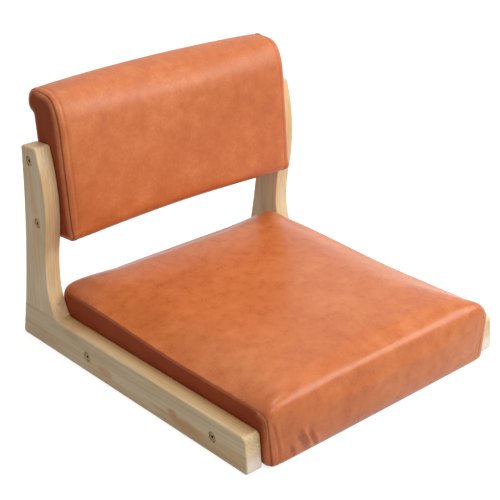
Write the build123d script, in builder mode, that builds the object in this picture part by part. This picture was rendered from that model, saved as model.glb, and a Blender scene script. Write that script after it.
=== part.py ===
from build123d import *
import os
from math import atan2, cos, radians, sin, sqrt

os.makedirs("parts", exist_ok=True)

# The chair faces -Y, stands on z = 0 and is centred on its footprint. Millimetres and degrees.

# Overall size, outside to outside and from the seat's front to the heels
chair_width = 480.0
chair_depth = 530.0

# Side boards: a rail on the floor with an upright on its rear end
timber = 26.0
rail_height = 54.0
edge_round = 2.5
seat_nose = 8.0
toe_rake = 4.0
toe_top_round = 9.0
toe_bottom_round = 5.0
heel_round = 5.0
foot_length = 96.0
foot_round = 8.0
joint_step = 2.0
waist_height = 110.0
waist_depth = 78.5
bend_height = 172.0
bend_depth = 86.0
crest_margin = 22.0
crest_depth = 80.5
crest_setin = 45.0
crest_fall = 2.5
crest_round = 4.5
back_edge_bow = 8.5

# Dowels between upright and rail
dowel_diameter = 8.0
dowel_length = 40.0
dowel_spacing = 34.0
dowel_setin = 48.0
dowel_clearance = 0.1

# Bolts with socket heads, sunk in counterbores, and their threaded inserts
bolt_diameter = 6.0
bolt_length = 44.0
head_diameter = 14.0
head_height = 3.0
head_recess = 0.8
head_round = 0.8
socket_size = 4.0
socket_depth = 2.0
counterbore_diameter = 15.0
bolt_hole_diameter = 6.6
insert_diameter = 10.0
insert_length = 15.0
insert_clearance = 0.1
thread_clearance = 0.1
rail_bolt_height = 26.0
rail_bolt_rear_setin = 173.0
rail_bolt_front_setin = 76.0

# Upholstery
cover_thickness = 1.2
side_clearance = 0.3
foam_gap = 0.3
hem_width = 25.0
cloth_thickness = 0.5
cloth_margin = 12.0

# Seat cushion
seat_rear_setin = 72.0
seat_bottom = 3.0
seat_crown_height = 101.0
seat_seam_height = 82.5
seat_crown_share = 0.15
seat_top_bow = 3.0
seat_front_bow = 1.5
seat_front_round = 24.0
seat_rear_round = 12.0
seat_hem_round = 4.0
seat_front_draw = 6.0
seat_rear_draw = 4.0
seat_front_foam = 18.0
seat_rear_foam = 22.0
seat_bar_width = 28.0
seat_bar_height = 44.0
seat_panel_thickness = 6.0

# Back rest, measured from the line through its bolts
back_lean = 4.1
back_bolt_setin = 69.7
back_bolt_height = 203.0
back_bolt_spacing = 94.0
back_front = 49.5
back_rear = 17.0
back_drop = 29.0
back_rise = 193.0
back_shoulder = 125.0
back_crest_setback = 44.5
back_roll_turn = 35.0
back_front_bow = 2.0
back_hollow = 13.0
back_crown = 3.0
back_seam_draw = 4.0
back_front_corner = 14.0
back_rear_corner = 12.0
head_overhang = 11.3
head_radius = 26.0
head_under_radius = 12.0
back_panel_thickness = 9.0
back_panel_rise = 150.0
back_panel_drop = 20.0
batten_front = 12.0
batten_rear = 10.0
batten_width = 24.0
batten_margin = 18.0

# How sharply the padding falls away near its side seams, and where the lofts take their sections
seam_power = 24
corner_power = 10
section_places = (-1.0, -0.97, -0.88, -0.5, 0.0, 0.5, 0.88, 0.97, 1.0)

# Places worked out from the sizes above
outer_x = chair_width / 2
inner_x = outer_x - timber
gusset_outer_x = inner_x - side_clearance
seam_x = gusset_outer_x - cover_thickness
foam_x = seam_x - foam_gap
heel_y = chair_depth / 2
seat_front_y = -chair_depth / 2
seat_rear_y = heel_y - seat_rear_setin
seat_depth = seat_rear_y - seat_front_y
frame_front_y = seat_front_y + seat_front_bow + cover_thickness + seat_front_foam
frame_rear_y = seat_rear_y - cover_thickness - seat_rear_foam
frame_length = frame_rear_y - frame_front_y
frame_middle_y = (frame_front_y + frame_rear_y) / 2
bar_bottom = seat_bottom + cover_thickness
bar_top = bar_bottom + seat_bar_height
panel_top = bar_top + seat_panel_thickness
back_y = heel_y - back_bolt_setin
lean_out = sin(radians(back_lean))
lean_up = cos(radians(back_lean))
head_seat = head_recess + head_height
joint_height = rail_height + joint_step
crest_height = back_bolt_height + back_bolt_spacing + crest_margin
heel_angle = atan2(crest_setin, crest_height) + 4 * back_edge_bow / crest_height
heel_trim = heel_round * ((1 + sin(heel_angle)) / cos(heel_angle) - 1)


# Side frame: one outline in the YZ plane, cut in two at the top of the rail
def side_outline():
    toe_bottom = (seat_front_y + seat_nose, 0)
    toe_top = (seat_front_y + seat_nose + toe_rake, rail_height)
    heel = (heel_y + heel_trim, 0)
    foot_tip = (heel_y - foot_length, rail_height)
    waist = (heel_y - waist_depth, waist_height)
    bend = (heel_y - bend_depth, bend_height)
    crest_front = (heel_y - crest_depth, crest_height)
    crest_back = (heel_y - crest_setin, crest_height - crest_fall)
    with BuildSketch() as outline:
        with BuildLine():
            Line(toe_bottom, heel)
            SagittaArc(heel, crest_back, back_edge_bow)
            Line(crest_back, crest_front)
            hollow = TangentArc(waist, bend, tangent=(0, 1))
            TangentArc(bend, crest_front, tangent=hollow % 1)
            TangentArc(waist, foot_tip, tangent=(0, -1))
            Line(foot_tip, toe_top)
            Line(toe_top, toe_bottom)
        make_face()
        for corner, radius in (
            (toe_bottom, toe_bottom_round),
            (toe_top, toe_top_round),
            (heel, heel_round),
            (crest_back, crest_round),
            (crest_front, crest_round),
            (foot_tip, foot_round),
        ):
            fillet(outline.vertices().sort_by_distance(corner)[0], radius)
    return outline.sketch


def side_frame(side):
    with BuildPart() as frame:
        with BuildSketch(Plane.YZ.offset(side * inner_x)):
            add(side_outline())
        extrude(amount=side * timber)
        fillet(frame.faces().filter_by(Axis.X).edges(), edge_round)
    return frame.part


def back_point(rise):
    return (back_y + rise * lean_out, back_bolt_height + rise * lean_up)


# Bolt seats: planes on a side's outer face, with +Z pointing out of the chair
def bolt_planes(side, places, x):
    return [Plane((side * x, y, z), x_dir=(0, 1, 0), z_dir=(side, 0, 0)) for y, z in places]


rail_bolts = [
    (seat_front_y + rail_bolt_front_setin, rail_bolt_height),
    (heel_y - rail_bolt_rear_setin, rail_bolt_height),
]
upright_bolts = [back_point(0), back_point(back_bolt_spacing)]
dowel_places = [heel_y - dowel_setin, heel_y - dowel_setin - dowel_spacing]


# Seat section on a plane across X, drawn in near the side seams, moved inwards by an inset
def seat_section(x, inset):
    reach = abs(x) / seam_x
    fall = seat_crown_share * reach**2 + (1 - seat_crown_share) * reach**seam_power
    top = seat_crown_height - (seat_crown_height - seat_seam_height) * fall - inset
    front = seat_front_y + seat_front_bow + seat_front_draw * reach**seam_power + inset
    rear = seat_rear_y - seat_rear_draw * reach**corner_power - inset
    bottom = seat_bottom + inset
    front_round = seat_front_round - inset
    rear_round = seat_rear_round - inset
    hem_round = seat_hem_round - inset
    with BuildSketch(Plane.YZ.offset(x)) as section:
        with BuildLine():
            TangentArc((front + hem_round, bottom), (front, bottom + hem_round), tangent=(-1, 0))
            SagittaArc((front, bottom + hem_round), (front, top - front_round), seat_front_bow)
            TangentArc((front, top - front_round), (front + front_round, top), tangent=(0, 1))
            SagittaArc((front + front_round, top), (rear - rear_round, top), seat_top_bow)
            TangentArc((rear - rear_round, top), (rear, top - rear_round), tangent=(1, 0))
            Line((rear, top - rear_round), (rear, bottom + hem_round))
            TangentArc((rear, bottom + hem_round), (rear - hem_round, bottom), tangent=(0, -1))
            Line((rear - hem_round, bottom), (front + hem_round, bottom))
        make_face()
    return section.sketch


# Back rest section on a plane across X, in its own leaning axes: first axis backwards, second upwards
def back_section(x, inset):
    reach = abs(x) / seam_x
    setback = back_hollow * (1 - reach**2)
    shrink = inset + back_seam_draw * reach**seam_power - back_crown * (1 - reach**2)
    turn_cos = cos(radians(back_roll_turn))
    turn_sin = sin(radians(back_roll_turn))
    climb = back_rise - back_shoulder
    spread = 1 - turn_cos - turn_sin
    low_radius = (back_crest_setback * (1 - turn_sin) - climb * turn_cos) / spread - shrink
    high_radius = (climb * (1 - turn_cos) - back_crest_setback * turn_sin) / spread - shrink
    front = setback - back_front + shrink
    rear = setback + back_rear - shrink
    bottom = shrink - back_drop
    top = back_rise - shrink
    front_corner = back_front_corner - shrink
    rear_corner = back_rear_corner - shrink
    head_height_level = back_rise - head_radius
    head_rear = setback + back_rear + head_overhang
    under_radius = head_under_radius - shrink
    neck_offset = rear - (head_rear - head_under_radius)
    shoulder = (front, back_shoulder)
    roll_joint = (front + low_radius * (1 - turn_cos), back_shoulder + low_radius * turn_sin)
    crest_front = (setback - back_front + back_crest_setback, top)
    crest_rear = (head_rear - head_radius, top)
    head_back = (head_rear - shrink, head_height_level)
    neck = (rear, head_height_level - sqrt(under_radius**2 - neck_offset**2))
    plane = Plane((x, back_y, back_bolt_height), x_dir=(0, lean_up, -lean_out), z_dir=(1, 0, 0))
    with BuildSketch(plane) as section:
        with BuildLine():
            TangentArc((front + front_corner, bottom), (front, bottom + front_corner), tangent=(-1, 0))
            SagittaArc((front, bottom + front_corner), shoulder, back_front_bow)
            TangentArc(shoulder, roll_joint, tangent=(0, 1))
            TangentArc(roll_joint, crest_front, tangent=(turn_sin, turn_cos))
            Line(crest_front, crest_rear)
            TangentArc(crest_rear, head_back, tangent=(1, 0))
            TangentArc(head_back, neck, tangent=(0, -1))
            Line(neck, (rear, bottom + rear_corner))
            TangentArc((rear, bottom + rear_corner), (rear - rear_corner, bottom), tangent=(0, -1))
            Line((rear - rear_corner, bottom), (front + front_corner, bottom))
        make_face()
    return section.sketch


cover_places = [place * seam_x for place in section_places]
foam_places = [place * foam_x for place in section_places]
insert_bore = insert_diameter / 2 + insert_clearance
panel_front = -batten_front - back_panel_thickness
back_floor = Plane(
    (0, back_y - back_panel_drop * lean_out, back_bolt_height - back_panel_drop * lean_up),
    x_dir=(1, 0, 0),
    z_dir=(0, lean_out, lean_up),
)

# How pieces stand on, or hang from, the point that places them
stand = (Align.CENTER, Align.CENTER, Align.MIN)
hang = (Align.CENTER, Align.CENTER, Align.MAX)
outermost = {-1: 0, 1: -1}


def save(part, name):
    part.label = name
    export_step(part, f"parts/{name}.step")


# Side frames with their dowels and bolts
for side, hand in ((-1, "left"), (1, "right")):
    board_x = side * (inner_x + timber / 2)
    dowel_centres = [(board_x, y, joint_height) for y in dowel_places]
    blank = side_frame(side)

    with BuildPart() as upright:
        add(blank)
        split(bisect_by=Plane.XY.offset(joint_height), keep=Keep.TOP)
        with Locations(*dowel_centres):
            Cylinder(dowel_diameter / 2 + dowel_clearance, dowel_length, mode=Mode.SUBTRACT)
        with Locations(*bolt_planes(side, upright_bolts, outer_x)):
            CounterBoreHole(bolt_hole_diameter / 2, counterbore_diameter / 2, head_seat, timber)
    save(upright.part, f"{hand}_upright")

    with BuildPart() as rail:
        add(blank)
        split(bisect_by=Plane.XY.offset(joint_height), keep=Keep.BOTTOM)
        with Locations(*dowel_centres):
            Cylinder(dowel_diameter / 2 + dowel_clearance, dowel_length, mode=Mode.SUBTRACT)
        with Locations(*bolt_planes(side, rail_bolts, outer_x)):
            CounterBoreHole(bolt_hole_diameter / 2, counterbore_diameter / 2, head_seat, timber)
    save(rail.part, f"{hand}_rail")

    with BuildPart() as dowels:
        with Locations(*dowel_centres):
            Cylinder(dowel_diameter / 2, dowel_length)
    save(dowels.part, f"{hand}_dowels")

    for places, piece in ((upright_bolts, "upright_bolts"), (rail_bolts, "rail_bolts")):
        head_planes = bolt_planes(side, places, outer_x - head_recess)
        shank_planes = bolt_planes(side, places, outer_x - head_seat)
        with BuildPart() as bolts:
            with Locations(*head_planes):
                Cylinder(head_diameter / 2, head_height, align=hang)
            fillet(bolts.faces().group_by(Axis.X)[outermost[side]].edges(), head_round)
            with BuildSketch(*head_planes):
                RegularPolygon(socket_size / 2, 6, major_radius=False)
            extrude(amount=-socket_depth, mode=Mode.SUBTRACT)
            with Locations(*shank_planes):
                Cylinder(bolt_diameter / 2, bolt_length, align=hang)
        save(bolts.part, f"{hand}_{piece}")

# Seat frame: side bars with threaded inserts, cross bars between them, a plywood panel on top
insert_planes = {"seat": [], "back": []}
for side, hand in ((-1, "left"), (1, "right")):
    insert_planes["seat"] += bolt_planes(side, rail_bolts, seam_x)
    insert_planes["back"] += bolt_planes(side, upright_bolts, seam_x)

    with BuildPart() as side_bar:
        with Locations((side * (seam_x - seat_bar_width / 2), frame_middle_y, bar_bottom)):
            Box(seat_bar_width, frame_length, seat_bar_height, align=stand)
        with Locations(*bolt_planes(side, rail_bolts, seam_x)):
            CounterBoreHole(bolt_hole_diameter / 2, insert_bore, insert_length, seat_bar_width)
    save(side_bar.part, f"seat_{hand}_bar")

cross_length = 2 * (seam_x - seat_bar_width)
for name, y in (
    ("seat_front_bar", frame_front_y + seat_bar_width / 2),
    ("seat_rear_bar", frame_rear_y - seat_bar_width / 2),
):
    with BuildPart() as cross_bar:
        with Locations((0, y, bar_bottom)):
            Box(cross_length, seat_bar_width, seat_bar_height, align=stand)
    save(cross_bar.part, name)

with BuildPart() as seat_panel:
    with Locations((0, frame_middle_y, bar_top)):
        Box(2 * seam_x, frame_length, seat_panel_thickness, align=stand)
save(seat_panel.part, "seat_panel")

# Seat foam: a crowned block that wraps over the front and rear of its frame
with BuildPart() as seat_foam:
    loft(sections=[seat_section(x, cover_thickness + foam_gap) for x in foam_places])
    with Locations((0, frame_middle_y, 0)):
        Box(chair_width, frame_length, panel_top, align=stand, mode=Mode.SUBTRACT)
save(seat_foam.part, "seat_foam")

# Seat cover: one panel over front, top and rear, hemmed under the frame, between two side gussets
with BuildPart() as seat_cover:
    loft(sections=[seat_section(x, 0) for x in cover_places])
    loft(sections=[seat_section(x, cover_thickness) for x in cover_places], mode=Mode.SUBTRACT)
    with Locations((0, (seat_front_y + seat_rear_y) / 2, 0)):
        Box(chair_width, seat_depth - 2 * hem_width, bar_bottom, align=stand, mode=Mode.SUBTRACT)
save(seat_cover.part, "seat_cover")

for side, hand in ((-1, "left"), (1, "right")):
    with BuildPart() as seat_gusset:
        extrude(seat_section(side * seam_x, 0), amount=side * cover_thickness)
        with Locations(*bolt_planes(side, rail_bolts, gusset_outer_x)):
            Hole(bolt_hole_diameter / 2)
    save(seat_gusset.part, f"seat_{hand}_gusset")

with BuildPart() as dust_cloth:
    with Locations((0, (seat_front_y + seat_rear_y) / 2, seat_bottom)):
        Box(2 * (seam_x - cloth_margin), seat_depth - 2 * cloth_margin, cloth_thickness, align=hang)
save(dust_cloth.part, "seat_dust_cloth")

# Back rest: bent panel, battens behind its ends, foam around them, cover and gussets
with BuildPart() as back_panel:
    with BuildSketch(back_floor):
        with BuildLine():
            front_arc = SagittaArc((-seam_x, panel_front), (seam_x, panel_front), back_hollow)
            rear_arc = SagittaArc((-seam_x, -batten_front), (seam_x, -batten_front), back_hollow)
            Line(front_arc @ 0, rear_arc @ 0)
            Line(front_arc @ 1, rear_arc @ 1)
        make_face()
    extrude(amount=back_panel_drop + back_panel_rise)
save(back_panel.part, "back_panel")

batten_blocks = []
for side, hand in ((-1, "left"), (1, "right")):
    with BuildPart() as block:
        with BuildSketch(back_floor.offset(back_panel_drop - batten_margin)):
            with Locations((side * (seam_x - batten_width / 2), batten_rear)):
                Rectangle(batten_width, batten_rear + batten_front, align=(Align.CENTER, Align.MAX))
        extrude(amount=back_bolt_spacing + 2 * batten_margin)
        add(back_panel.part, mode=Mode.SUBTRACT)
    batten_blocks.append(block.part)

    with BuildPart() as batten:
        add(block.part)
        with Locations(*bolt_planes(side, upright_bolts, seam_x)):
            CounterBoreHole(bolt_hole_diameter / 2, insert_bore, insert_length, batten_width)
    save(batten.part, f"back_{hand}_batten")

with BuildPart() as back_foam:
    loft(sections=[back_section(x, cover_thickness + foam_gap) for x in foam_places])
    add([back_panel.part] + batten_blocks, mode=Mode.SUBTRACT)
save(back_foam.part, "back_foam")

with BuildPart() as back_cover:
    loft(sections=[back_section(x, 0) for x in cover_places])
    loft(sections=[back_section(x, cover_thickness) for x in cover_places], mode=Mode.SUBTRACT)
save(back_cover.part, "back_cover")

for side, hand in ((-1, "left"), (1, "right")):
    with BuildPart() as back_gusset:
        extrude(back_section(side * seam_x, 0), amount=side * cover_thickness)
        with Locations(*bolt_planes(side, upright_bolts, gusset_outer_x)):
            Hole(bolt_hole_diameter / 2)
    save(back_gusset.part, f"back_{hand}_gusset")

# Threaded inserts, flush with the frames they sit in
for name, planes in insert_planes.items():
    with BuildPart() as inserts:
        with Locations(*planes):
            Cylinder(insert_diameter / 2, insert_length, align=hang)
            Hole(bolt_diameter / 2 + thread_clearance, insert_length)
    save(inserts.part, f"{name}_insert_nuts")
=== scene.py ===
import math

import bpy
import numpy as np
from mathutils import Matrix, Vector


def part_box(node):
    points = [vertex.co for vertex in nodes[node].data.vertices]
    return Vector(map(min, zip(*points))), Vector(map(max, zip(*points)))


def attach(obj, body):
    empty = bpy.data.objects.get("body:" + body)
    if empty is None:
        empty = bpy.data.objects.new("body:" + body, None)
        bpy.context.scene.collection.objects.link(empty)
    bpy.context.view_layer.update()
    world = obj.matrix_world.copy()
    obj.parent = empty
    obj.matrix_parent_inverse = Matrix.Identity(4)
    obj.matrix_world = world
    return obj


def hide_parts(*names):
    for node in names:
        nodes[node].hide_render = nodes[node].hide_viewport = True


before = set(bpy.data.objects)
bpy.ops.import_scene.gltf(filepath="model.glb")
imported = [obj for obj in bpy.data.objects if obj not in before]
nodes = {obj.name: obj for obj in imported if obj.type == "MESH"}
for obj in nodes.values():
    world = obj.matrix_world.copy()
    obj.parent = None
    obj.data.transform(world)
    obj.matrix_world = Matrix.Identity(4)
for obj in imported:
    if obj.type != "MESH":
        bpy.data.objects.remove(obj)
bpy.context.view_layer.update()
print("frame loaded,", len(nodes), "CAD nodes")

mm = 0.001


# object mode helpers: one object selected and active, one modifier applied
def pickOnly(piece):
    bpy.ops.object.select_all(action="DESELECT")
    piece.select_set(True)
    bpy.context.view_layer.objects.active = piece


def applyModifier(piece, modifier):
    pickOnly(piece)
    bpy.ops.object.modifier_apply(modifier=modifier.name)


def readPoints(piece):
    points = np.zeros(len(piece.data.vertices) * 3)
    piece.data.vertices.foreach_get("co", points)
    return points.reshape(-1, 3)


def readNormals(piece):
    normals = np.zeros(len(piece.data.vertices) * 3, np.float32)
    piece.data.vertex_normals.foreach_get("vector", normals)
    return normals.reshape(-1, 3).astype(float)


def writePoints(piece, points):
    piece.data.vertices.foreach_set("co", points.ravel())
    piece.data.update()


# shader maths as plain expressions: a wire is an output socket of one finish
class Wire:
    def __init__(self, finish, socket):
        self.finish = finish
        self.socket = socket

    def maths(self, operation, first, second):
        return self.finish.node("ShaderNodeMath", {"operation": operation}, {0: first, 1: second})

    def __add__(self, other):
        return self.maths("ADD", self, other)

    def __radd__(self, other):
        return self.maths("ADD", other, self)

    def __sub__(self, other):
        return self.maths("SUBTRACT", self, other)

    def __rsub__(self, other):
        return self.maths("SUBTRACT", other, self)

    def __mul__(self, other):
        return self.maths("MULTIPLY", self, other)

    def __rmul__(self, other):
        return self.maths("MULTIPLY", other, self)

    def __truediv__(self, other):
        return self.maths("DIVIDE", self, other)

    def __pow__(self, other):
        return self.maths("POWER", self, other)

    def __gt__(self, other):
        return self.maths("GREATER_THAN", self, other)

    def __abs__(self):
        return self.maths("ABSOLUTE", self, 0.0)


class Finish:
    def __init__(self, tree):
        self.tree = tree
        tree.nodes.clear()

    # one node of any kind: settings first, then socket values or links, gives one output
    def node(self, kind, settings=None, sockets=None, out=0):
        made = self.tree.nodes.new(kind)
        for name, value in (settings or {}).items():
            if name == "stops":
                ramp = made.color_ramp.elements
                while len(ramp) < len(value):
                    ramp.new(0.5)
                for stop, (place, colour) in zip(ramp, value):
                    stop.position = place
                    stop.color = (*colour, 1.0)
            else:
                setattr(made, name, value)
        for name, value in (sockets or {}).items():
            if isinstance(value, Wire):
                self.tree.links.new(value.socket, made.inputs[name])
            else:
                made.inputs[name].default_value = value
        return Wire(self, made.outputs[out]) if made.outputs else made

    def noise(self, vector, scale, detail=3.0, roughness=0.5, distortion=0.0):
        sockets = {"Vector": vector, "Scale": scale, "Detail": detail}
        sockets.update({"Roughness": roughness, "Distortion": distortion})
        return self.node("ShaderNodeTexNoise", None, sockets)

    def stretched(self, vector, scale):
        return self.node("ShaderNodeMapping", None, {"Vector": vector, "Scale": scale})

    def ramp(self, value, stops):
        return self.node("ShaderNodeValToRGB", {"stops": stops}, {0: value})

    def smooth(self, value, low, high):
        sockets = {"Value": value, "From Min": low, "From Max": high}
        return self.node("ShaderNodeMapRange", {"interpolation_type": "SMOOTHSTEP"}, sockets)

    def mixed(self, share, first, second, blend="MIX"):
        settings = {"data_type": "RGBA", "blend_type": blend}
        return self.node("ShaderNodeMix", settings, {0: share, 6: first, 7: second}, 2)

    def bump(self, height, strength, distance):
        sockets = {"Height": height, "Strength": strength, "Distance": distance}
        return self.node("ShaderNodeBump", None, sockets)

    def axes(self):
        spot = self.node("ShaderNodeTexCoord", None, None, "Object")
        split = {axis: self.node("ShaderNodeSeparateXYZ", None, {0: spot}, axis) for axis in "XYZ"}
        return spot, split["X"], split["Y"], split["Z"]

    def surface(self, sockets):
        shader = self.node("ShaderNodeBsdfPrincipled", None, sockets)
        self.node("ShaderNodeOutputMaterial", None, {"Surface": shader})


def newMaterial(name):
    material = bpy.data.materials.new(name)
    material.use_nodes = True
    return material, Finish(material.node_tree)


def colour(red, green, blue):
    return (red, green, blue, 1.0)


# camera at the photo's viewing angle
photoCamera = {
    "spot": (-1.06664, -1.22692, 0.90093),
    "turn": (65.213, 0.994, -41.296),
    "lens": 88.32,
    "sensor": 36.0,
}

bpy.ops.object.camera_add(location=photoCamera["spot"])
camera = bpy.context.object
camera.name = "photoCamera"
camera.rotation_euler = [math.radians(angle) for angle in photoCamera["turn"]]
camera.data.lens = photoCamera["lens"]
camera.data.sensor_width = photoCamera["sensor"]
bpy.context.scene.camera = camera
print("camera set")

# soft studio: a low lamp at the sitter's left, two weaker ones, a pale room, a white floor
studio = {
    "keySpot": (1.12, -1.12, 1.18),
    "keySize": (1.5, 0.90),
    "keyPower": 22.5,
    "frontSpot": (-0.50, -1.25, 1.35),
    "frontSize": (0.8, 0.6),
    "frontPower": 6.0,
    "topSpot": (0.30, 0.10, 2.25),
    "topSize": (0.9, 0.9),
    "topPower": 12.5,
    "zenithStrength": 0.58,
    "horizonStrength": 0.62,
    "zenithHeight": 0.60,
    "darkSide": 0.66,
    "darkSideReach": (-0.2, 1.0),
    "floorSize": 60.0,
    "floorColour": colour(0.42, 0.42, 0.42),
    "floorGlow": 0.80,
}


def areaLamp(name, spot, size, power):
    bpy.ops.object.light_add(type="AREA", location=spot)
    lamp = bpy.context.object
    lamp.name = name
    lamp.rotation_euler = Vector(spot).to_track_quat("Z", "Y").to_euler()
    lamp.data.shape = "RECTANGLE"
    lamp.data.size, lamp.data.size_y = size
    lamp.data.energy = power


# rays that see the surroundings themselves: straight, mirrored or through glass
def seenRays(paint):
    names = ("Is Camera Ray", "Is Glossy Ray", "Is Transmission Ray")
    rays = [paint.node("ShaderNodeLightPath", None, None, name) for name in names]
    return (rays[0] + rays[1] + rays[2]) > 0.5


def studioRoom():
    world = bpy.context.scene.world or bpy.data.worlds.new("studioRoom")
    bpy.context.scene.world = world
    world.use_nodes = True
    room = Finish(world.node_tree)
    way = room.node("ShaderNodeTexCoord", None, None, "Generated")
    height = room.node("ShaderNodeSeparateXYZ", None, {0: way}, "Z")
    sideways = room.node("ShaderNodeSeparateXYZ", None, {0: way}, "X")
    zenith = room.smooth(height, 0.0, studio["zenithHeight"])
    climb = studio["zenithStrength"] - studio["horizonStrength"]
    strength = studio["horizonStrength"] + climb * zenith
    shaded = 1 - studio["darkSide"] * room.smooth(sideways * -1, *studio["darkSideReach"])
    seen = seenRays(room)
    lit = seen + (1 - seen) * strength * shaded
    sockets = {"Color": colour(1.0, 1.0, 1.0), "Strength": lit}
    air = room.node("ShaderNodeBackground", None, sockets)
    room.node("ShaderNodeOutputWorld", None, {"Surface": air})


def studioFloor():
    bpy.ops.object.select_all(action="DESELECT")
    bpy.ops.mesh.primitive_plane_add(size=studio["floorSize"])
    floor = bpy.context.object
    floor.name = "studioFloor"
    material, paint = newMaterial("studioFloorPaint")
    seen = seenRays(paint)
    sockets = {"Base Color": studio["floorColour"], "Roughness": 0.9, "Specular IOR Level": 0.0}
    matt = paint.node("ShaderNodeBsdfPrincipled", None, sockets)
    glow = paint.node("ShaderNodeEmission", None, {"Strength": studio["floorGlow"] * seen})
    both = paint.node("ShaderNodeAddShader", None, {0: matt, 1: glow})
    paint.node("ShaderNodeOutputMaterial", None, {"Surface": both})
    floor.data.materials.append(material)


for lamp in ("key", "front", "top"):
    traits = [studio[lamp + trait] for trait in ("Spot", "Size", "Power")]
    areaLamp(lamp + "Lamp", *traits)
studioRoom()
studioFloor()
bpy.context.scene.view_settings.view_transform = "Standard"
print("studio lit")

# tan leather: cloudy pull-up tone, fine specks, pebbled grain, painted shade on the side panels
# and along the seams
leatherLook = {
    "deep": (0.480, 0.112, 0.025),
    "middle": (0.560, 0.148, 0.036),
    "pale": (0.640, 0.205, 0.064),
    # painted shade multiplied into the side panels
    "paintedPanelShade": (0.56, 0.32, 0.20),
    "panelRoughness": 0.45,
    # painted shade lines along the seams
    "seatCrease": (0.66, 0.52, 0.46),
    "backCrease": (0.52, 0.38, 0.32),
    "cloudScale": 9.0,
    "blotchScale": 48.0,
    "speckScale": 260.0,
    "grainScale": 620.0,
    "wanderScale": 1400.0,
    "seatRoughness": 0.29,
    "seatShine": 0.36,
    "backRoughness": 0.43,
    "backShine": 0.44,
    "grainDepth": 0.00022,
}


def tanLeather(cushion):
    look = leatherLook
    material, hide = newMaterial(cushion + "Leather")
    spot = hide.axes()[0]
    cloud = hide.noise(spot, look["cloudScale"], 4.0, 0.55, 0.4)
    blotch = hide.noise(spot, look["blotchScale"], 4.0, 0.58, 0.2)
    speck = hide.noise(spot, look["speckScale"], 2.0, 0.6)
    tone = 0.40 * cloud + 0.40 * blotch + 0.20 * speck
    stops = [(0.36, look["deep"]), (0.50, look["middle"]), (0.64, look["pale"])]
    base = hide.ramp(tone, stops)
    # the gusset attribute carries the side panels' painted shade, darker away from the seam
    gusset = hide.node("ShaderNodeAttribute", {"attribute_name": "gusset"}, None, "Fac")
    seam = hide.node("ShaderNodeAttribute", {"attribute_name": "seam"}, None, "Fac")
    panel = hide.smooth(gusset, 0.15, 1.0)
    base = hide.mixed(panel, base, colour(*look["paintedPanelShade"]), "MULTIPLY")
    # painted shade along the seam ring, standing for the shade in the seam's groove
    seamShadeMask = hide.smooth(seam, 0.25, 1.0)
    base = hide.mixed(seamShadeMask, base, colour(*look[cushion + "Crease"]), "MULTIPLY")
    pebbleSettings = {"feature": "SMOOTH_F1", "voronoi_dimensions": "3D"}
    pebbleSockets = {"Vector": spot, "Scale": look["grainScale"], "Smoothness": 0.6}
    pebble = hide.node("ShaderNodeTexVoronoi", pebbleSettings, pebbleSockets, "Distance")
    wander = hide.noise(spot, look["wanderScale"], 2.0)
    height = pebble * -0.8 + 0.3 * wander + 0.5 * speck
    grain = hide.bump(height, 0.30, look["grainDepth"])
    rough = look[cushion + "Roughness"] + 0.16 * (blotch - 0.5) + 0.10 * (pebble - 0.4)
    rough = rough + look["panelRoughness"] * (panel + seamShadeMask)
    sockets = {"Base Color": base, "Roughness": rough, "Normal": grain}
    hide.surface({**sockets, "Specular IOR Level": look[cushion + "Shine"]})
    return material


def softStep(value):
    value = np.clip(value, 0, 1)
    return value * value * (3 - 2 * value)


# padded bodies: a closed outline swept across the chair, side panels sewn in at both ends;
# lengths in metres
padding = {
    "arcSteps": 24,
    "frontBand": 0.018,
    "sideLimit": 0.2138,
    "foldSteps": 8,
    "frames": 20,
    "cloth": {
        "quality": 6,
        "mass": 0.3,
        "tension_stiffness": 18.0,
        "compression_stiffness": 18.0,
        "shear_stiffness": 8.0,
        "bending_stiffness": 1.2,
        "use_pressure": True,
    },
}


def roundedOutline(corners, start, count):
    spots = np.array([corner[:2] for corner in corners])
    dense = []
    for place, (_, _, radius) in enumerate(corners):
        here = spots[place]
        toLast = spots[place - 1] - here
        toNext = spots[(place + 1) % len(spots)] - here
        toLast = toLast / np.linalg.norm(toLast)
        toNext = toNext / np.linalg.norm(toNext)
        half = math.acos(np.clip(toLast @ toNext, -1, 1)) / 2
        reach = radius / math.tan(half)
        bisector = toLast + toNext
        middle = here + bisector / np.linalg.norm(bisector) * radius / math.sin(half)
        first = here + toLast * reach - middle
        last = here + toNext * reach - middle
        turn = math.atan2(first[0] * last[1] - first[1] * last[0], first @ last)
        for share in np.linspace(0, 1, padding["arcSteps"]):
            c, s = math.cos(turn * share), math.sin(turn * share)
            dense.append(middle + [first[0] * c - first[1] * s, first[0] * s + first[1] * c])
    dense = np.array(dense)
    dense = np.roll(dense, -np.argmin(np.linalg.norm(dense - start, axis=1)), axis=0)
    ring = np.vstack([dense, dense[:1]])
    length = np.concatenate([[0], np.cumsum(np.linalg.norm(np.diff(ring, axis=0), axis=1))])
    places = np.linspace(0, length[-1], count, endpoint=False)
    return np.stack([np.interp(places, length, ring[:, axis]) for axis in (0, 1)], 1)
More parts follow.
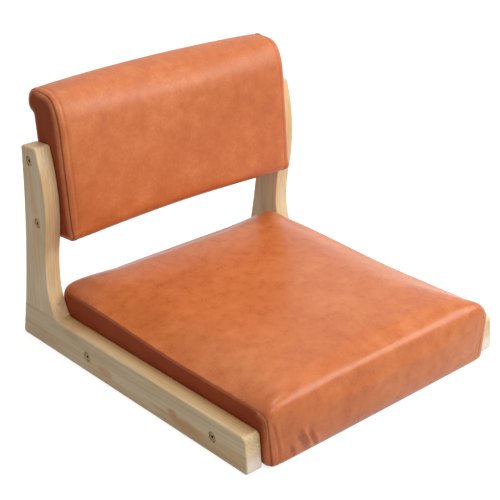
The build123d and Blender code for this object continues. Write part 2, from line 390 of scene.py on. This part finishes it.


# covers between the rings and a side panel at each end, with a painted shade that grows darker
# away from its seam
def paddedBody(name, rings, look):
    panelX, panelRound = look["panelX"] * mm, look["panelRound"] * mm
    panelShadeReach = [reach * mm for reach in look["panelShadeReach"]]
    stations, count = rings.shape[:2]
    points = [tuple(point) for point in rings.reshape(-1, 3)]
    faces = []
    for station in range(stations - 1):
        for spot in range(count):
            nextSpot = (spot + 1) % count
            low, high = station * count, (station + 1) * count
            faces.append((low + spot, low + nextSpot, high + nextSpot, high + spot))
    panelPoints, panelShadeLevel = [], []
    for base, side in ((0, -1), ((stations - 1) * count, 1)):
        seamRing = rings[0] if side < 0 else rings[-1]
        rows = []
        for spot in range(1, count // 2):
            first, last = base + spot, base + count - spot
            row = [first]
            for share in look["panelSteps"]:
                point = np.array(points[first]) * (1 - share) + np.array(points[last]) * share
                gap = np.linalg.norm(seamRing[:, 1:] - point[1:], axis=1)
                near = np.argmin(gap)
                drop = panelX - abs(seamRing[near, 0])
                inward = 1 - min(1.0, gap[near] / max(panelRound, drop))
                point[0] = side * (panelX - drop * (1 - math.sqrt(1 - inward**2)))
                atFront = seamRing[near, 1] < seamRing[:, 1].min() + padding["frontBand"]
                row.append(len(points))
                panelPoints.append(len(points))
                # painted shade level on the side panel: none at the seam, full further in,
                # building more slowly in the band at the front
                panelShadeLevel.append(min(1.0, gap[near] / panelShadeReach[0 if atFront else 1]))
                points.append(tuple(point))
            rows.append(row + [last])
        for above, below in zip(rows[:-1], rows[1:]):
            for place in range(len(above) - 1):
                faces.append((above[place], above[place + 1], below[place + 1], below[place]))
        for tip, row in ((base, rows[0]), (base + count // 2, rows[-1])):
            for place in range(len(row) - 1):
                faces.append((tip, row[place], row[place + 1]))
    mesh = bpy.data.meshes.new(name)
    mesh.from_pydata(points, [], faces)
    body = bpy.data.objects.new(name, mesh)
    bpy.context.scene.collection.objects.link(body)
    pickOnly(body)
    bpy.ops.object.mode_set(mode="EDIT")
    bpy.ops.mesh.select_all(action="SELECT")
    bpy.ops.mesh.normals_make_consistent(inside=False)
    bpy.ops.object.mode_set(mode="OBJECT")
    seamPoints = list(range(count)) + list(range((stations - 1) * count, stations * count))
    # attributes: the gusset one holds the side panels' painted shade, the seam one marks the seam
    # rings for a painted shade line
    for label, members, level in (("gusset", panelPoints, panelShadeLevel), ("seam", seamPoints, 1.0)):
        values = np.zeros(len(points), np.float32)
        values[members] = level
        mesh.attributes.new(label, "FLOAT", "POINT").data.foreach_set("value", values)
    return body, seamPoints, panelPoints


# a movement averaged with the neighbours' again and again, apart from held points
def evened(body, moved, held, rounds):
    ends = np.zeros(len(body.data.edges) * 2, np.int32)
    body.data.edges.foreach_get("vertices", ends)
    first, second = ends[0::2], ends[1::2]
    near = np.bincount(ends, minlength=len(moved))[:, None]
    for _ in range(rounds):
        total = np.zeros_like(moved)
        np.add.at(total, first, moved[second])
        np.add.at(total, second, moved[first])
        moved = 0.5 * moved + 0.5 * total / near
        moved[held] = 0.0
    return moved


# air pressure between pinned seams swells the panels; no point moves further than the cap
def swell(body, held, look):
    cap = look["cap"] * mm
    rest = readPoints(body)
    group = body.vertex_groups.new(name="held")
    group.add(held, 1.0, "REPLACE")
    cloth = body.modifiers.new("swelling", "CLOTH")
    for name, value in padding["cloth"].items():
        setattr(cloth.settings, name, value)
    cloth.settings.uniform_pressure_force = look["pressure"]
    cloth.settings.effector_weights.gravity = 0.0
    cloth.settings.vertex_group_mass = "held"
    for step in range(padding["frames"]):
        bpy.context.scene.frame_set(step + 1)
    applyModifier(body, cloth)
    bpy.context.scene.frame_set(1)
    body.vertex_groups.remove(body.vertex_groups["held"])
    moved = evened(body, readPoints(body) - rest, held, look["rounds"])
    length = np.linalg.norm(moved, axis=1)
    share = cap * np.tanh(length / cap) / np.maximum(length, 1e-9)
    print(body.name, "swelled by up to", round(float((length * share).max()) * 1000, 1), "mm")
    writePoints(body, rest + moved * share[:, None])


def subdivided(body):
    finer = body.modifiers.new("finer", "SUBSURF")
    finer.levels = 1
    finer.render_levels = 1
    applyModifier(body, finer)
    pickOnly(body)
    bpy.ops.object.shade_smooth()


# a fold is a soft ridge, or a groove with a negative height, along a line on the surface
def pressFold(body, path, width, height, taper):
    points = readPoints(body)
    normals = readNormals(body)
    path = np.array(path)
    legs = zip(path[:-1], path[1:])
    shares = np.linspace(0, 1, padding["foldSteps"])[:, None]
    path = np.vstack([start + (end - start) * shares for start, end in legs])
    path = np.array([body.closest_point_on_mesh(Vector(spot))[1] for spot in path])
    apart = np.linalg.norm(np.diff(path, axis=0), axis=1) > 1e-6
    path = path[np.concatenate([[True], apart])]
    lengths = np.linalg.norm(np.diff(path, axis=0), axis=1)
    away = np.full(len(points), np.inf)
    share = np.zeros(len(points))
    for place, length in enumerate(lengths):
        line = path[place + 1] - path[place]
        along = np.clip((points - path[place]) @ line / (line @ line), 0, 1)
        distance = np.linalg.norm(points - path[place] - along[:, None] * line, axis=1)
        nearer = distance < away
        away[nearer] = distance[nearer]
        share[nearer] = ((lengths[:place].sum() + along * length) / lengths.sum())[nearer]
    fade = softStep(np.minimum(share, 1 - share) / taper)
    push = height * fade * np.exp(-((away / width) ** 2))
    writePoints(body, points + normals * push[:, None])


# sewing thread: one stitch, copied along a line that is laid on the cushion
threadLook = {
    "pitch": 4.4,
    "length": 3.2,
    "radius": 0.42,
    "lift": 0.10,
    "twistScale": 2600.0,
    "light": (0.62, 0.20, 0.065),
    "dark": (0.40, 0.10, 0.028),
}


def waxedThread():
    material, thread = newMaterial("waxedThread")
    twist = thread.noise(thread.axes()[0], threadLook["twistScale"], 2.0)
    base = thread.ramp(twist, [(0.35, threadLook["dark"]), (0.65, threadLook["light"])])
    bump = thread.bump(twist, 0.3, 0.0002)
    thread.surface({"Base Color": base, "Roughness": 0.45 + 0.2 * twist, "Normal": bump})
    return material


def threadRow(name, host, paths, material):
    look = threadLook
    bpy.ops.object.select_all(action="DESELECT")
    bpy.ops.mesh.primitive_uv_sphere_add(segments=6, ring_count=4, radius=look["radius"] * mm)
    stitch = bpy.context.object
    bpy.ops.object.mode_set(mode="EDIT")
    bpy.ops.mesh.select_all(action="SELECT")
    bpy.ops.transform.rotate(value=math.pi / 2, orient_axis="Y", center_override=(0, 0, 0))
    bpy.ops.transform.resize(value=(look["length"] / look["radius"] / 2, 1, 1))
    bpy.ops.object.mode_set(mode="OBJECT")
    bpy.ops.object.shade_smooth()
    copies = []
    for path in paths:
        path = np.array(path)
        run = np.concatenate([[0], np.cumsum(np.linalg.norm(np.diff(path, axis=0), axis=1))])
        places = np.arange(look["pitch"] * mm / 2, run[-1], look["pitch"] * mm)
        spots = np.stack([np.interp(places, run, path[:, axis]) for axis in range(3)], 1)
        laid = [host.closest_point_on_mesh(Vector(spot))[1:3] for spot in spots]
        for place in range(1, len(laid) - 1):
            up = laid[place][1].normalized()
            along = (laid[place + 1][0] - laid[place - 1][0]).normalized()
            across = up.cross(along).normalized()
            turn = Matrix((across.cross(up), across, up)).transposed().to_4x4()
            copy = stitch.copy()
            copy.data = stitch.data.copy()
            copy.matrix_world = Matrix.Translation(laid[place][0] + up * look["lift"] * mm) @ turn
            bpy.context.scene.collection.objects.link(copy)
            copies.append(copy)
    bpy.data.objects.remove(stitch)
    bpy.ops.object.select_all(action="DESELECT")
    for copy in copies:
        copy.select_set(True)
    bpy.context.view_layer.objects.active = copies[0]
    bpy.ops.object.join()
    bpy.ops.object.transform_apply(location=True, rotation=True, scale=True)
    row = bpy.context.object
    row.name = name
    row.data.materials.clear()
    row.data.materials.append(material)
    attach(row, "root")
    print(name, "sewn with", len(copies), "stitches")


def finishPadding(piece, material, fill, *hidden):
    piece.data.materials.append(material)
    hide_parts(*hidden)
    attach(piece, "root")


thread = waxedThread()

# seat cushion, sizes in millimetres as on the bench
seatCushion = {
    "front": -269.5,
    "rear": 193.0,
    "hem": 0.6,
    "under": 3.2,
    "crown": 99.6,
    "seamTop": 82.0,
    "edgeFall": (0.12, 0.88, 32),
    "edgeRise": (-0.8, 9.7, -110.0, 260.0),
    "pitch": (3.2, -35.0, 225.0),
    "sideFall": (0.10, 0.90, 38.0),
    "frontSag": (0.25, 0.75, 12.0, 120.0),
    "rearSag": (14.0, 110.0),
    "shapedAbove": (40.0, 38.0),
    "bow": 3.0,
    "underReach": (6.0, 10.0),
    "frontInset": (0.6, 2.4, 24),
    "corners": {"hem": 3.0, "front": 14.5, "rear": 14.0},
    "rearCorner": 9.0,
    "rearSeam": (212.3, 4.5, 0.2),
    "rearSeamBand": (12.0, 8.0),
    "rearSeamFoot": (3.0, 6.0),
    "rearSeamLean": (81.0, 30.0),
    "frontLean": (7.7, 62.0, 60.0),
    "leanBand": (22.0, 10.0),
    "leanAcross": (150.0, 62.0),
    "seamX": 212.4,
    "seamDip": 1.3,
    "seamSunk": 1.7,
    "panelX": 213.4,
    "panelRound": 3.0,
    "panelShadeReach": (11.0, 2.0),
    "ringCount": 210,
    "puckerStations": (-183.0, -112.0, 3.4),
    "puckerMargin": 2.0,
    "seamSteps": (0, 2, 4, 6.5, 9, 12, 15, 18, 21, 25, 30, 36, 43, 50),
    "middleStep": 7.0,
    "panelSteps": (0.03, 0.08, 0.16, 0.30, 0.5, 0.70, 0.84, 0.92, 0.97),
    "fill": 0.85,
    "pressure": 1.4,
    "cap": 5.0,
    "rounds": 16,
    "heldBelow": 10.0,
    "panelHeldBelow": 56.0,
    "overRail": (54.5, 59.0, 3.6),
    "foldSetIn": 1.0,
    "topstitch": [(-207.5, 73.0), (-201.4, 49.0), (-196.5, 25.0), (-194.5, 5.0)],
    "stitchFold": (1.5, -0.9, 0.2),
    "seamRidge": [(-203.0, 74.0), (-197.5, 49.0), (-192.0, 25.0), (-190.0, 8.0)],
    "ridgeFold": (2.6, 0.6, 0.2),
    "puckerTaper": 0.45,
    "puckers": [
        (-164.0, 52.0, -137.0, 1.0, 3.6, 3.0),
        (-173.0, 44.0, -147.0, 1.0, 3.6, -2.2),
        (-153.0, 44.0, -130.0, 1.0, 3.0, -3.2),
        (-145.0, 40.0, -123.0, 1.0, 3.6, 1.6),
        (-178.0, 34.0, -163.0, 1.0, 3.4, 1.4),
        (-182.0, 28.0, -170.0, 1.0, 3.0, -1.0),
    ],
}


def mirroredStations(seamX, steps, middleStep):
    half = [seamX - step for step in steps]
    middle = np.linspace(-half[-1], half[-1], int(2 * half[-1] / middleStep) + 1)
    return np.concatenate([[-x for x in half[:-1]], middle, half[:-1][::-1]])


# one ring of the seat at x; sunk is how far a seam is drawn in below the covers beside it
def seatRing(x, sunk):
    seat = seatCushion
    depth = seat["crown"] - seat["seamTop"]
    reach = min(1.0, (abs(x) + (seat["seamDip"] if sunk else 0.0)) / seat["seamX"])
    broad, sharp, power = seat["edgeFall"]
    fall = broad * reach**2 + sharp * reach**power
    top = seat["crown"] - depth * fall - sunk
    inset, endInset, power = seat["frontInset"]
    front = seat["front"] + inset + endInset * reach**power + sunk
    corner = seat["rearCorner"]
    past = np.clip(abs(x) - (seat["panelX"] - corner), 0, corner)
    rear = seat["rear"] - (corner - math.sqrt(corner**2 - past**2)) - sunk
    low = seat["hem"]
    bend = seat["corners"]
    corners = [(front, low, bend["hem"]), (front, top, bend["front"])]
    corners += [(rear, top, bend["rear"]), (rear, low, bend["hem"])]
    outline = roundedOutline(corners, (front, (low + top) / 2), seat["ringCount"])
    y, z = outline[:, 0], outline[:, 1]
    upper = z > (low + top) / 2
    shapedFrom, shapedOver = seat["shapedAbove"]
    shaped = softStep((z - shapedFrom) / shapedOver)
    # the top sags beside the seams, less at the front and rear edges
    broad, sharp, slope = seat["sideFall"]
    gentle = broad * reach**2 + sharp * math.exp((reach - 1) * seat["seamX"] / slope)
    frontShare, restShare, sagFrom, sagOver = seat["frontSag"]
    along = frontShare + restShare * softStep((y - front - sagFrom) / sagOver)
    rearFrom, rearOver = seat["rearSag"]
    along = along * softStep((rear - rearFrom - y) / rearOver)
    sag = (gentle - fall) * along * shaped
    fall = fall + sag
    rise, climb, climbFrom, climbOver = seat["edgeRise"]
    edge = fall * (rise + climb * softStep((y - climbFrom) / climbOver)) * shaped
    pitch, tipAt, tipOver = seat["pitch"]
    tip = pitch * np.clip((y - tipAt) / tipOver, -1, 1) * (1 - fall) * shaped
    bow = np.sin(np.clip((y - front) / (rear - front), 0, 1) * math.pi)
    setIn, over = seat["underReach"]
    raised = softStep((y - front - setIn) / over) * softStep((rear - y - setIn) / over)
    lift = np.where(upper, seat["bow"] * bow * (1 - fall), (seat["under"] - low) * raised)
    z = z - sag * depth + edge + tip + lift
    # the front seams lean inwards on their way down
    lean, leanTop, leanHeight = seat["frontLean"]
    band, fade = seat["leanBand"]
    inwards = lean * np.clip((leanTop - z) / leanHeight, 0, 1)
    inwards = inwards * np.clip((front + band - y) / fade, 0, 1)
    leanFrom, leanOver = seat["leanAcross"]
    across = np.sign(x) * (abs(x) - inwards * softStep((abs(x) - leanFrom) / leanOver))
    return np.stack([across, y, z], 1)


# the rear seam is sewn on the side, a little in front of the rounded corner
def seatSeam(side):
    seat = seatCushion
    ring = seatRing(side * (seat["seamX"] - seat["seamDip"]), seat["seamSunk"])
    seamX, setIn, lean = seat["rearSeam"]
    band, fade = seat["rearSeamBand"]
    foot, footOver = seat["rearSeamFoot"]
    leanTop, leanHeight = seat["rearSeamLean"]
    behind = softStep((ring[:, 1] - ring[:, 1].max() + band) / fade)
    behind = behind * softStep((ring[:, 2] - foot) / footOver)
    ring[:, 0] += behind * (side * seamX - ring[:, 0])
    ring[:, 1] -= behind * (setIn + lean * np.clip(leanTop - ring[:, 2], 0, leanHeight))
    return ring


def onFront(path, side=1):
    y = seatCushion["front"] + seatCushion["foldSetIn"]
    return [(side * x * mm, y * mm, z * mm) for x, z in path]


def buildSeat():
    seat = seatCushion
    stations = mirroredStations(seat["seamX"], seat["seamSteps"], seat["middleStep"])
    first, last, step = seat["puckerStations"]
    margin = seat["puckerMargin"]
    stations = [x for x in stations if not first - margin < x < last + margin]
    stations = sorted(stations + list(np.arange(first, last, step)))
    rings = [seatSeam(-1)] + [seatRing(x, 0.0) for x in stations] + [seatSeam(1)]
    body, seam, panel = paddedBody("seatCushion", np.array(rings) * mm, seat)
    rest = readPoints(body)
    low = np.flatnonzero(rest[:, 2] < seat["heldBelow"] * mm).tolist()
    beside = [point for point in panel if rest[point, 2] < seat["panelHeldBelow"] * mm]
    swell(body, sorted(set(seam + low + beside)), seat)
    points = readPoints(body)
    railTop, above, overhang = (value * mm for value in seat["overRail"])
    past = softStep((points[:, 2] - railTop) / (above - railTop))
    limit = padding["sideLimit"] + overhang * past
    points[:, 0] = np.clip(points[:, 0], -limit, limit)
    points[:, 2] = np.maximum(points[:, 2], seat["hem"] * mm)
    writePoints(body, points)
    subdivided(body)
    for side in (1, -1):
        for line, fold in (("topstitch", "stitchFold"), ("seamRidge", "ridgeFold")):
            width, height, taper = seat[fold]
            pressFold(body, onFront(seat[line], side), width * mm, height * mm, taper)
    for startX, startZ, endX, endZ, width, height in seat["puckers"]:
        path = onFront([(startX, startZ), (endX, endZ)])
        pressFold(body, path, width * mm, height * mm, seat["puckerTaper"])
    return body


seat = buildSeat()
seatHidden = ("seat_foam", "seat_cover", "seat_left_gusset", "seat_right_gusset")
finishPadding(seat, tanLeather("seat"), seatCushion["fill"], *seatHidden)
seatStitches = [onFront(seatCushion["topstitch"], side) for side in (1, -1)]
threadRow("seatTopstitch", seat, seatStitches, thread)
print("seat cushion sewn:", len(seat.data.polygons), "faces")

# back rest cushion, measured from the line through its bolts: backwards, then upwards
backCushion = {
    "spot": (195.3, 203.0),
    "lean": 4.1,
    "corners": [
        (-49.5, -29.0, 15.0),
        (-49.5, 166.0, 70.0),
        (-29.5, 193.3, 27.5),
        (28.3, 193.0, 26.0),
        (28.3, 155.0, 12.0),
        (17.0, 155.0, 3.0),
        (17.0, -29.0, 12.0),
    ],
    "blendAbove": (40.0, 30.0),
    "blendBefore": (8.0, 16.0),
    "blendRounds": 14,
    "start": (-16.0, -29.0),
    "hollow": 13.0,
    "crown": 1.0,
    "seamDraw": (5.6, 16),
    "rearDraw": (0.2, -4.0, 18.0),
    "lowDraw": (0.8, -8.0, 16.0),
    "seamX": 209.6,
    "seamDip": 1.0,
    "seamSunk": 2.0,
    "panelX": 213.4,
    "panelRound": 7.0,
    "panelShadeReach": (11.0, 9.0),
    "rearReach": (3.4, 150.0, 58.0),
    "stitchPlace": 9.4,
    "ridgePlaces": (0.0, 2.0, 5.0, 7.6, 9.4, 11.2, 15.0),
    "ridgeHeights": (0.0, 0.6, 0.9, 0.5, -0.7, 0.1, 0.0),
    "ringCount": 124,
    "seamSteps": (0, 1.5, 3.2, 5.2, 7.4, 9.4, 11.2, 14, 18, 23, 29, 36),
    "middleStep": 6.0,
    "panelSteps": (0.03, 0.08, 0.15, 0.26, 0.38, 0.5, 0.62, 0.74, 0.85, 0.92, 0.97),
    "fill": 0.9,
    "pressure": 0.8,
    "cap": 4.0,
    "rounds": 30,
    "panelHeldBelow": 315.0,
    "overPost": (318.0, 12.0, 5.0),
}


# the outline and its outward normals; its long curves run into each other without a step
def backOutline():
    back = backCushion
    outline = roundedOutline(back["corners"], back["start"], back["ringCount"])
    above, aboveOver = back["blendAbove"]
    before, beforeOver = back["blendBefore"]
    free = softStep((outline[:, 1] - above) / aboveOver)[:, None]
    free = free * softStep((before - outline[:, 0]) / beforeOver)[:, None]
    for _ in range(back["blendRounds"]):
        mean = (np.roll(outline, 1, axis=0) + np.roll(outline, -1, axis=0)) / 2
        outline = outline + 0.5 * free * (mean - outline)
    along = np.roll(outline, -1, axis=0) - np.roll(outline, 1, axis=0)
    normals = np.stack([-along[:, 1], along[:, 0]], 1)
    normals = normals / np.linalg.norm(normals, axis=1)[:, None]
    return outline, normals * np.sign(normals[0] @ (0.0, -1.0))


# one ring of the back rest at x, in its own leaning axes, then placed in the chair
def backRing(outline, normals, x, sunk):
    back = backCushion
    lean = math.radians(back["lean"])
    reach = abs(x) / back["seamX"]
    toSeam = back["seamX"] - abs(x)
    ridge = float(np.interp(toSeam, back["ridgePlaces"], back["ridgeHeights"]))
    rearShare, rearFrom, rearOver = back["rearDraw"]
    behind = 1 - (1 - rearShare) * softStep((outline[:, 0] - rearFrom) / rearOver)
    lowShare, lowFrom, lowOver = back["lowDraw"]
    below = 1 - lowShare * softStep((lowFrom - outline[:, 1]) / lowOver)
    draw, power = back["seamDraw"]
    shrink = (draw * reach**power * below + sunk) * behind
    shrink = shrink - back["crown"] * (1 - reach**2) - ridge
    spots = outline - normals * shrink[:, None]
    spots[:, 0] += back["hollow"] * (1 - reach**2)
    y = back["spot"][0] + spots[:, 0] * math.cos(lean) + spots[:, 1] * math.sin(lean)
    z = back["spot"][1] - spots[:, 0] * math.sin(lean) + spots[:, 1] * math.cos(lean)
    outReach, outFrom, outOver = back["rearReach"]
    outwards = outReach * (1 - behind) * softStep((abs(x) - outFrom) / outOver)
    return np.stack([np.sign(x) * (abs(x) + outwards), y, z], 1)


def buildBack():
    back = backCushion
    stations = mirroredStations(back["seamX"], back["seamSteps"], back["middleStep"])
    shape = backOutline()
    seamX = back["seamX"] - back["seamDip"]
    seams = [backRing(*shape, side * seamX, back["seamSunk"]) for side in (-1, 1)]
    rings = seams[:1] + [backRing(*shape, x, 0.0) for x in stations] + seams[1:]
    body, seam, panel = paddedBody("backCushion", np.array(rings) * mm, back)
    rest = readPoints(body)
    beside = [point for point in panel if rest[point, 2] < back["panelHeldBelow"] * mm]
    swell(body, sorted(set(seam + beside)), back)
    points = readPoints(body)
    postTop, over, overhang = (value * mm for value in back["overPost"])
    limit = padding["sideLimit"] + overhang * np.clip((points[:, 2] - postTop) / over, 0, 1)
    points[:, 0] = np.clip(points[:, 0], -limit, limit)
    writePoints(body, points)
    subdivided(body)
    return body


# the topstitch runs round the cover beside each side seam
def backStitchPaths():
    shape = backOutline()
    x = backCushion["seamX"] - backCushion["stitchPlace"]
    paths = [backRing(*shape, side * x, 0.0) for side in (-1, 1)]
    return [np.vstack([path, path[:1]]) * mm for path in paths]


back = buildBack()
backHidden = ("back_foam", "back_cover", "back_left_gusset", "back_right_gusset")
finishPadding(back, tanLeather("back"), backCushion["fill"], *backHidden)
threadRow("backTopstitch", back, backStitchPaths(), thread)
print("back rest sewn:", len(back.data.polygons), "faces")

# pale glued-up hardwood: growth rings about a far pith, pores, strips of different tone; on the
# rail tops a painted shade with warm bounced light from the leather
boardLook = {
    "early": (0.860, 0.680, 0.420),
    "late": (0.690, 0.495, 0.275),
    "end": (0.880, 0.800, 0.690),
    # painted shade and leather-coloured bounced light on the rail tops, strongest beside the seat
    "paintedTopShade": (0.70, 0.54, 0.38),
    "paintedTopShadeReach": (-0.238, -0.216),
    "heelStep": 0.002,
    "grey": (0.93, 0.97, 0.94),
    "rosy": (0.88, 0.70, 0.52),
    "mark": (0.86, 0.62, 0.48),
    "glue": (0.55, 0.42, 0.30),
    "streakStretch": (52.0, 52.0, 2.6),
    "broadStretch": (20.0, 34.0, 7.0),
    "poreStretch": (420.0, 420.0, 9.0),
    "ringGap": 0.0046,
    "tilt": 0.035,
    "roughness": 0.46,
}


# grain runs along Y in the rails and along Z in the uprights
def boardWood(name, along, board, endAt=None, topAt=None):
    look = boardLook
    stripEdge = board["stripEdge"]
    material, wood = newMaterial(name)
    spot, x, y, z = wood.axes()
    length, across = (y, z) if along == "Y" else (z, y)
    upper = across > stripEdge
    order = (0, 2, 1) if along == "Y" else (0, 1, 2)
    stretches = [look[kind + "Stretch"] for kind in ("streak", "broad", "pore")]
    stretch, broad, fine = ([scale[axis] for axis in order] for scale in stretches)
    slow = [value * 0.35 for value in stretch]
    wobble = wood.noise(wood.stretched(spot, slow), 1.0, 3.0, 0.55)
    streak = wood.noise(wood.stretched(spot, stretch), 1.0, 4.0, 0.6)
    pore = wood.noise(wood.stretched(spot, fine), 1.0, 2.0, 0.6)
    pithA = abs(x) - 0.165 - 0.02 * upper
    pithB = across - stripEdge + 0.050 * (1 - 2 * upper) + look["tilt"] * length
    radius = (pithA * pithA + pithB * pithB) ** 0.5 + 0.009 * (wobble - 0.5)
    turns = radius * (2 * math.pi / look["ringGap"])
    phase = wood.node("ShaderNodeMath", {"operation": "SINE"}, {0: turns})
    ring = wood.smooth(phase, -0.6, 1.0)
    tone = 0.20 * ring + 0.60 * wood.smooth(streak, 0.30, 0.72)
    tone = tone + 0.20 * wood.smooth(pore, 0.42, 0.66)
    base = wood.ramp(tone, [(0.10, look["early"]), (0.85, look["late"])])
    base = wood.mixed(0.55 * upper, base, colour(*look["grey"]), "MULTIPLY")
    drift = wood.noise(wood.stretched(spot, broad), 1.0, 2.0, 0.5)
    warm = (0.25 + 0.55 * (1 - upper)) * wood.smooth(drift, 0.36, 0.66)
    base = wood.mixed(warm, base, colour(*look["rosy"]), "MULTIPLY")
    for placeAlong, placeAcross, longReach, crossReach, share in board["marks"]:
        far = ((length - placeAlong) / longReach) ** 2.0
        far = far + ((across - placeAcross) / crossReach) ** 2.0
        spread = 1 - wood.smooth(far + 1.2 * (streak - 0.5), 0.1, 1.0)
        base = wood.mixed(share * spread, base, colour(*look["mark"]), "MULTIPLY")
    glue = 1 - wood.smooth(abs(across - stripEdge), 0.0002, 0.0009)
    base = wood.mixed(0.16 * glue, base, colour(*look["glue"]), "MULTIPLY")
    if endAt is not None:
        # painted shade with warm bounced light from the leather: the rail tops grow darker and
        # more golden towards the seat
        inner = 0.25 + 0.75 * wood.smooth(abs(x) * -1, *look["paintedTopShadeReach"])
        topShadeMask = wood.smooth(z, topAt - 0.0012, topAt - 0.0002)
        base = wood.mixed(topShadeMask * inner, base, colour(*look["paintedTopShade"]), "MULTIPLY")
        cut = wood.smooth(length * -1, endAt - 0.0022, endAt - 0.0004)
        base = wood.mixed(0.82 * cut, base, colour(*look["end"]))
    grain = wood.bump(0.6 * pore + 0.4 * streak, 0.12, 0.0003)
    rough = look["roughness"] + 0.14 * (streak - 0.5) + 0.10 * (pore - 0.5)
    sockets = {"Base Color": base, "Roughness": rough, "Normal": grain}
    wood.surface({**sockets, "Specular IOR Level": 0.4})
    return material


# edge between a board's two strips, and its rosy marks in metres: place along and across,
# reach along and across, then strength
rail = {
    "stripEdge": 0.0262,
    "marks": [
        (0.048, 0.020, 0.020, 0.009, 0.8),
        (-0.106, 0.024, 0.012, 0.007, 1.0),
        (-0.135, 0.016, 0.040, 0.010, 0.7),
        (0.131, 0.047, 0.030, 0.010, 0.5),
    ],
}
upright = {
    "stripEdge": 0.2190,
    "marks": [(0.150, 0.235, 0.050, 0.006, 0.5), (0.245, 0.200, 0.040, 0.005, 0.4)],
}


def paintNode(names, material):
    for name in names:
        mesh = nodes[name].data
        mesh.materials.clear()
        mesh.materials.append(material)


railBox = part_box("left_rail")
railTop = railBox[1][2] - boardLook["heelStep"]
railWood = boardWood("railWood", "Y", rail, -railBox[0][1], railTop)
paintNode(("left_rail", "right_rail"), railWood)
paintNode(("left_upright", "right_upright"), boardWood("uprightWood", "Z", upright))
print("boards finished")

# antique bronze bolts: dark plating, rubbed bright in patches
boltLook = {"dark": (0.085, 0.055, 0.026), "rubbed": (0.42, 0.29, 0.14), "roughness": 0.36}


def bronzePlate():
    material, plate = newMaterial("bronzePlate")
    spot = plate.axes()[0]
    wear = plate.noise(spot, 700.0, 4.0, 0.6)
    scratch = plate.noise(plate.stretched(spot, (300.0, 2200.0, 300.0)), 1.0, 2.0)
    base = plate.ramp(wear, [(0.42, boltLook["dark"]), (0.68, boltLook["rubbed"])])
    rough = boltLook["roughness"] + 0.25 * (scratch - 0.5)
    bump = plate.bump(scratch, 0.10, 0.0001)
    plate.surface({"Base Color": base, "Metallic": 0.9, "Roughness": rough, "Normal": bump})
    return material


paintNode([name for name in nodes if name.endswith("_bolts")], bronzePlate())


# hidden timber, plywood and zinc inserts
def plainTimber(name, look):
    material, wood = newMaterial(name)
    streak = wood.noise(wood.stretched(wood.axes()[0], look["stretch"]), 1.0, 4.0, 0.6)
    base = wood.ramp(streak, [(0.32, look["light"]), (0.70, look["dark"])])
    rough = look["roughness"] + 0.12 * (streak - 0.5)
    bump = wood.bump(streak, 0.2, 0.0005)
    wood.surface({"Base Color": base, "Roughness": rough, "Normal": bump})
    return material


innerTimber = {
    "light": (0.76, 0.60, 0.40),
    "dark": (0.62, 0.45, 0.27),
    "stretch": (60, 4, 60),
    "roughness": 0.75,
}
plyBoard = {
    "light": (0.68, 0.52, 0.35),
    "dark": (0.52, 0.37, 0.23),
    "stretch": (3, 50, 400),
    "roughness": 0.7,
}
zincPlate = {
    "light": (0.62, 0.60, 0.55),
    "dark": (0.46, 0.45, 0.42),
    "stretch": (500, 500, 500),
    "roughness": 0.4,
}

sawnNames = [name for name in nodes if name.endswith(("_bar", "_batten", "_dowels"))]
nutNames = [name for name in nodes if name.endswith("_insert_nuts")]
paintNode(sawnNames, plainTimber("sawnTimber", innerTimber))
paintNode(("seat_panel", "back_panel"), plainTimber("plyBoard", plyBoard))
paintNode(nutNames, plainTimber("zincPlate", zincPlate))
print("hidden pieces finished")

# dust cloth under the seat: black non-woven, stretched, with small pulls at its edges
underCloth = {
    "flat": (401.0, 434.0),
    "centre": (0.0, -36.0, 2.75),
    "cuts": 60,
    "thickness": 0.4,
    "pull": 0.12,
    "pullPitch": 48.0,
    "pullFade": 22.0,
    "dotScale": 640.0,
    "fibre": (0.022, 0.022, 0.023),
    "worn": (0.055, 0.054, 0.052),
}


def nonWoven():
    material, cloth = newMaterial("nonWoven")
    spot = cloth.axes()[0]
    fibre = cloth.noise(cloth.stretched(spot, (900.0, 260.0, 900.0)), 1.0, 4.0, 0.65)
    dotSockets = {"Vector": spot, "Scale": underCloth["dotScale"], "Randomness": 0.15}
    dots = cloth.node("ShaderNodeTexVoronoi", {"feature": "F1"}, dotSockets, "Distance")
    pressed = 1 - cloth.smooth(dots, 0.18, 0.36)
    stops = [(0.30, underCloth["fibre"]), (0.72, underCloth["worn"])]
    base = cloth.ramp(fibre - 0.25 * pressed, stops)
    bump = cloth.bump(0.5 * fibre - pressed, 0.5, 0.0003)
    sockets = {"Base Color": base, "Roughness": 0.82 + 0.2 * (fibre - 0.5), "Normal": bump}
    cloth.surface({**sockets, "Specular IOR Level": 0.25})
    return material


def buildUnderCloth():
    look = underCloth
    bpy.ops.object.select_all(action="DESELECT")
    bpy.ops.mesh.primitive_plane_add(size=1.0)
    piece = bpy.context.object
    piece.name = "underCloth"
    bpy.ops.object.mode_set(mode="EDIT")
    bpy.ops.mesh.select_all(action="SELECT")
    bpy.ops.transform.resize(value=(look["flat"][0] * mm, look["flat"][1] * mm, 1.0))
    bpy.ops.transform.translate(value=[value * mm for value in look["centre"]])
    bpy.ops.mesh.subdivide(number_cuts=look["cuts"])
    bpy.ops.object.mode_set(mode="OBJECT")
    points = readPoints(piece)
    halfWidth, halfLength = look["flat"][0] * mm / 2, look["flat"][1] * mm / 2
    toSide = halfWidth - abs(points[:, 0])
    toEnd = halfLength - abs(points[:, 1] - look["centre"][1] * mm)
    wave = 2 * math.pi / (look["pullPitch"] * mm)
    fade = look["pullFade"] * mm
    sidePulls = np.cos(points[:, 1] * wave) * np.exp(-toSide / fade)
    endPulls = np.cos(points[:, 0] * wave) * np.exp(-toEnd / fade)
    points[:, 2] += look["pull"] * mm * (sidePulls + endPulls)
    writePoints(piece, points)
    wall = piece.modifiers.new("wall", "SOLIDIFY")
    wall.thickness = look["thickness"] * mm
    wall.offset = 0.0
    applyModifier(piece, wall)
    bpy.ops.object.shade_smooth()
    piece.data.materials.append(nonWoven())
    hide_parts("seat_dust_cloth")
    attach(piece, "root")


buildUnderCloth()
print("dust cloth stretched")
